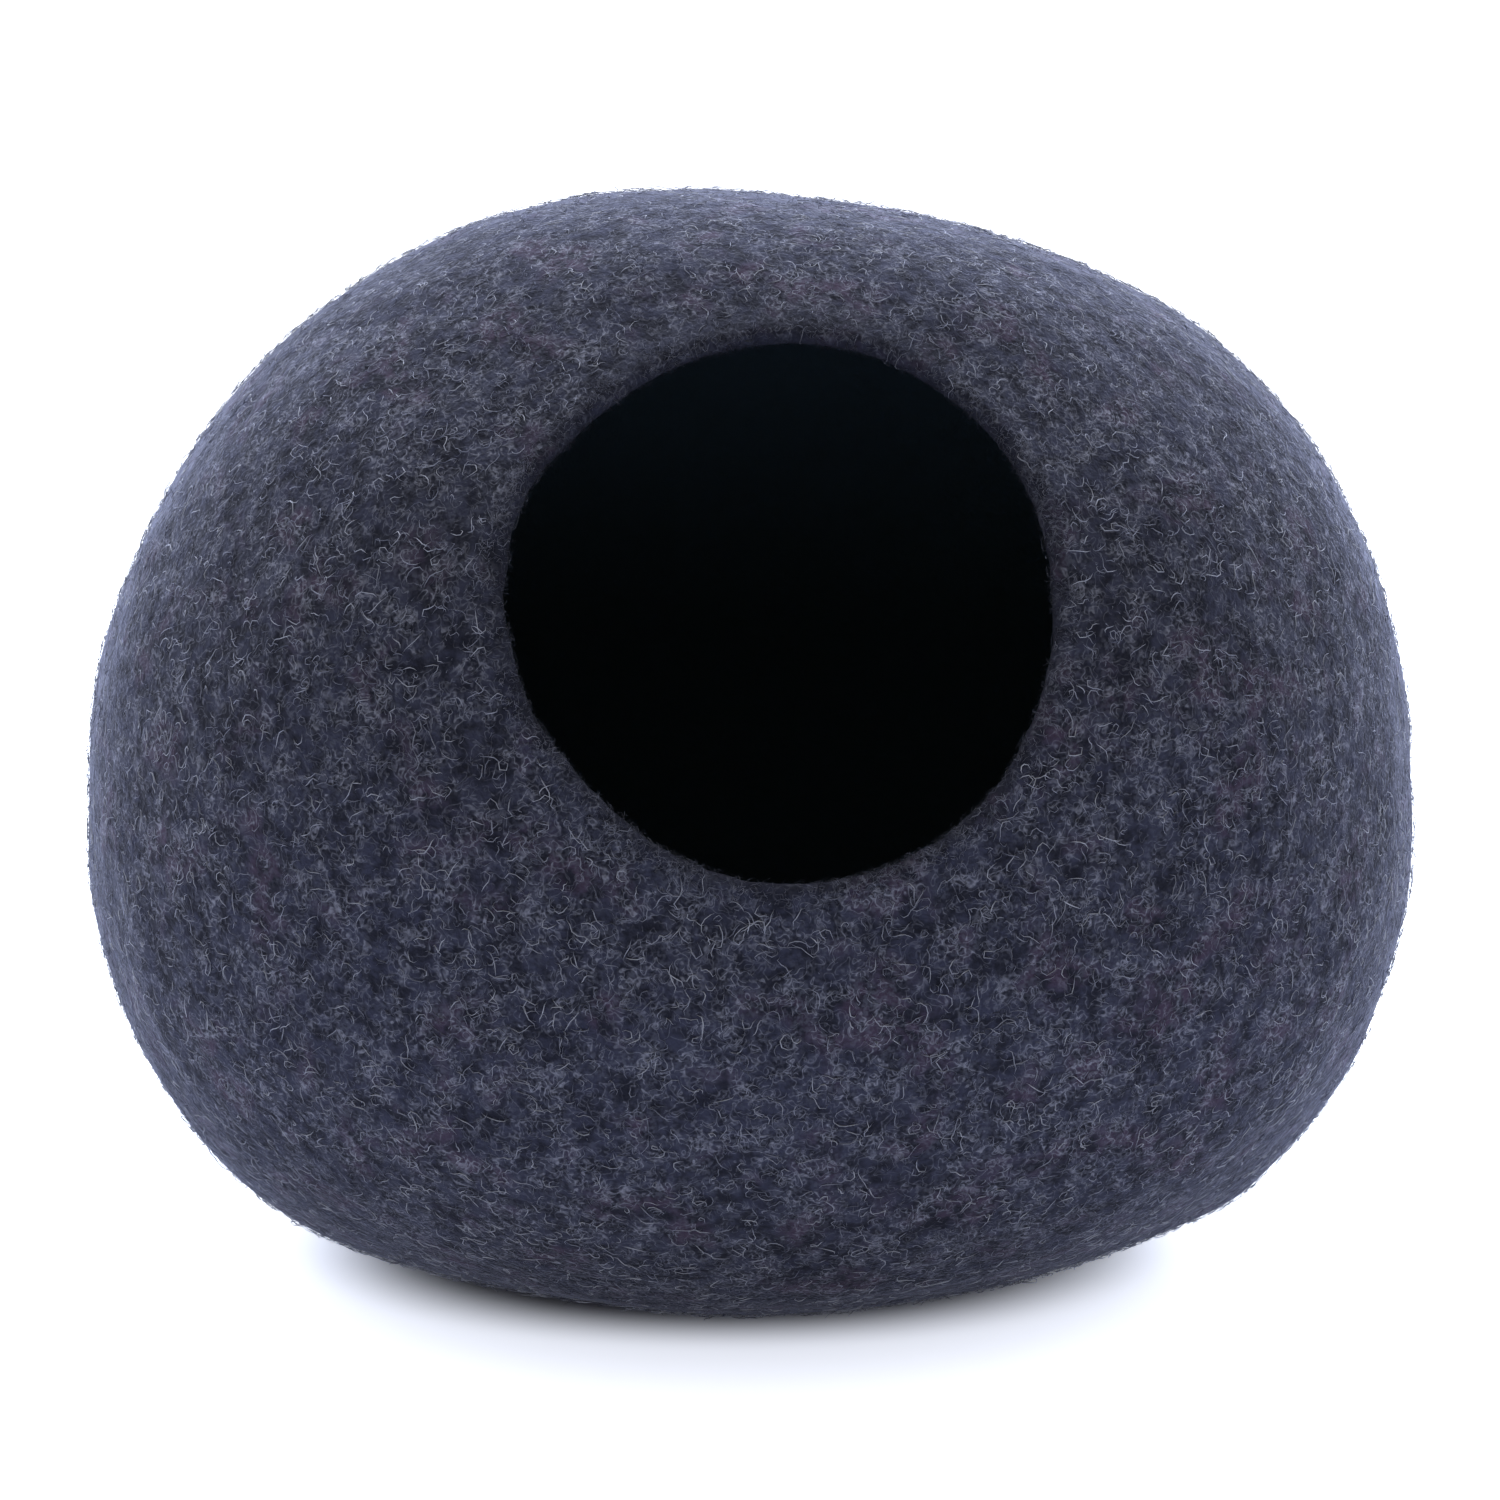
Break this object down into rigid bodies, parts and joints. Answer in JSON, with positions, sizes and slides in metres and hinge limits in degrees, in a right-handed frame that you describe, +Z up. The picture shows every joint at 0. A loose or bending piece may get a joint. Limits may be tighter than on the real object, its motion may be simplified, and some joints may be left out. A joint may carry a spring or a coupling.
{
  "type": "felted pet cave bed",
  "caption": "Rounded one-piece cave bed of thick wool felt, with a round mouth high in its front through which a small pet climbs in to lie down.",
  "frame": {"origin": "on the floor, under the middle of the pod", "axes": "+X along the width, to the right of someone facing the mouth; the mouth looks towards -Y and upwards; +Z up"},
  "size_m": [0.4804, 0.4388, 0.3879],
  "materials": {
    "felt": "matt wet-felted wool, dark blue-grey, flecked with paler fibres"
  },
  "bodies": {
    "root": {"felt_shell": "felt"}
  },
  "joints": []
}
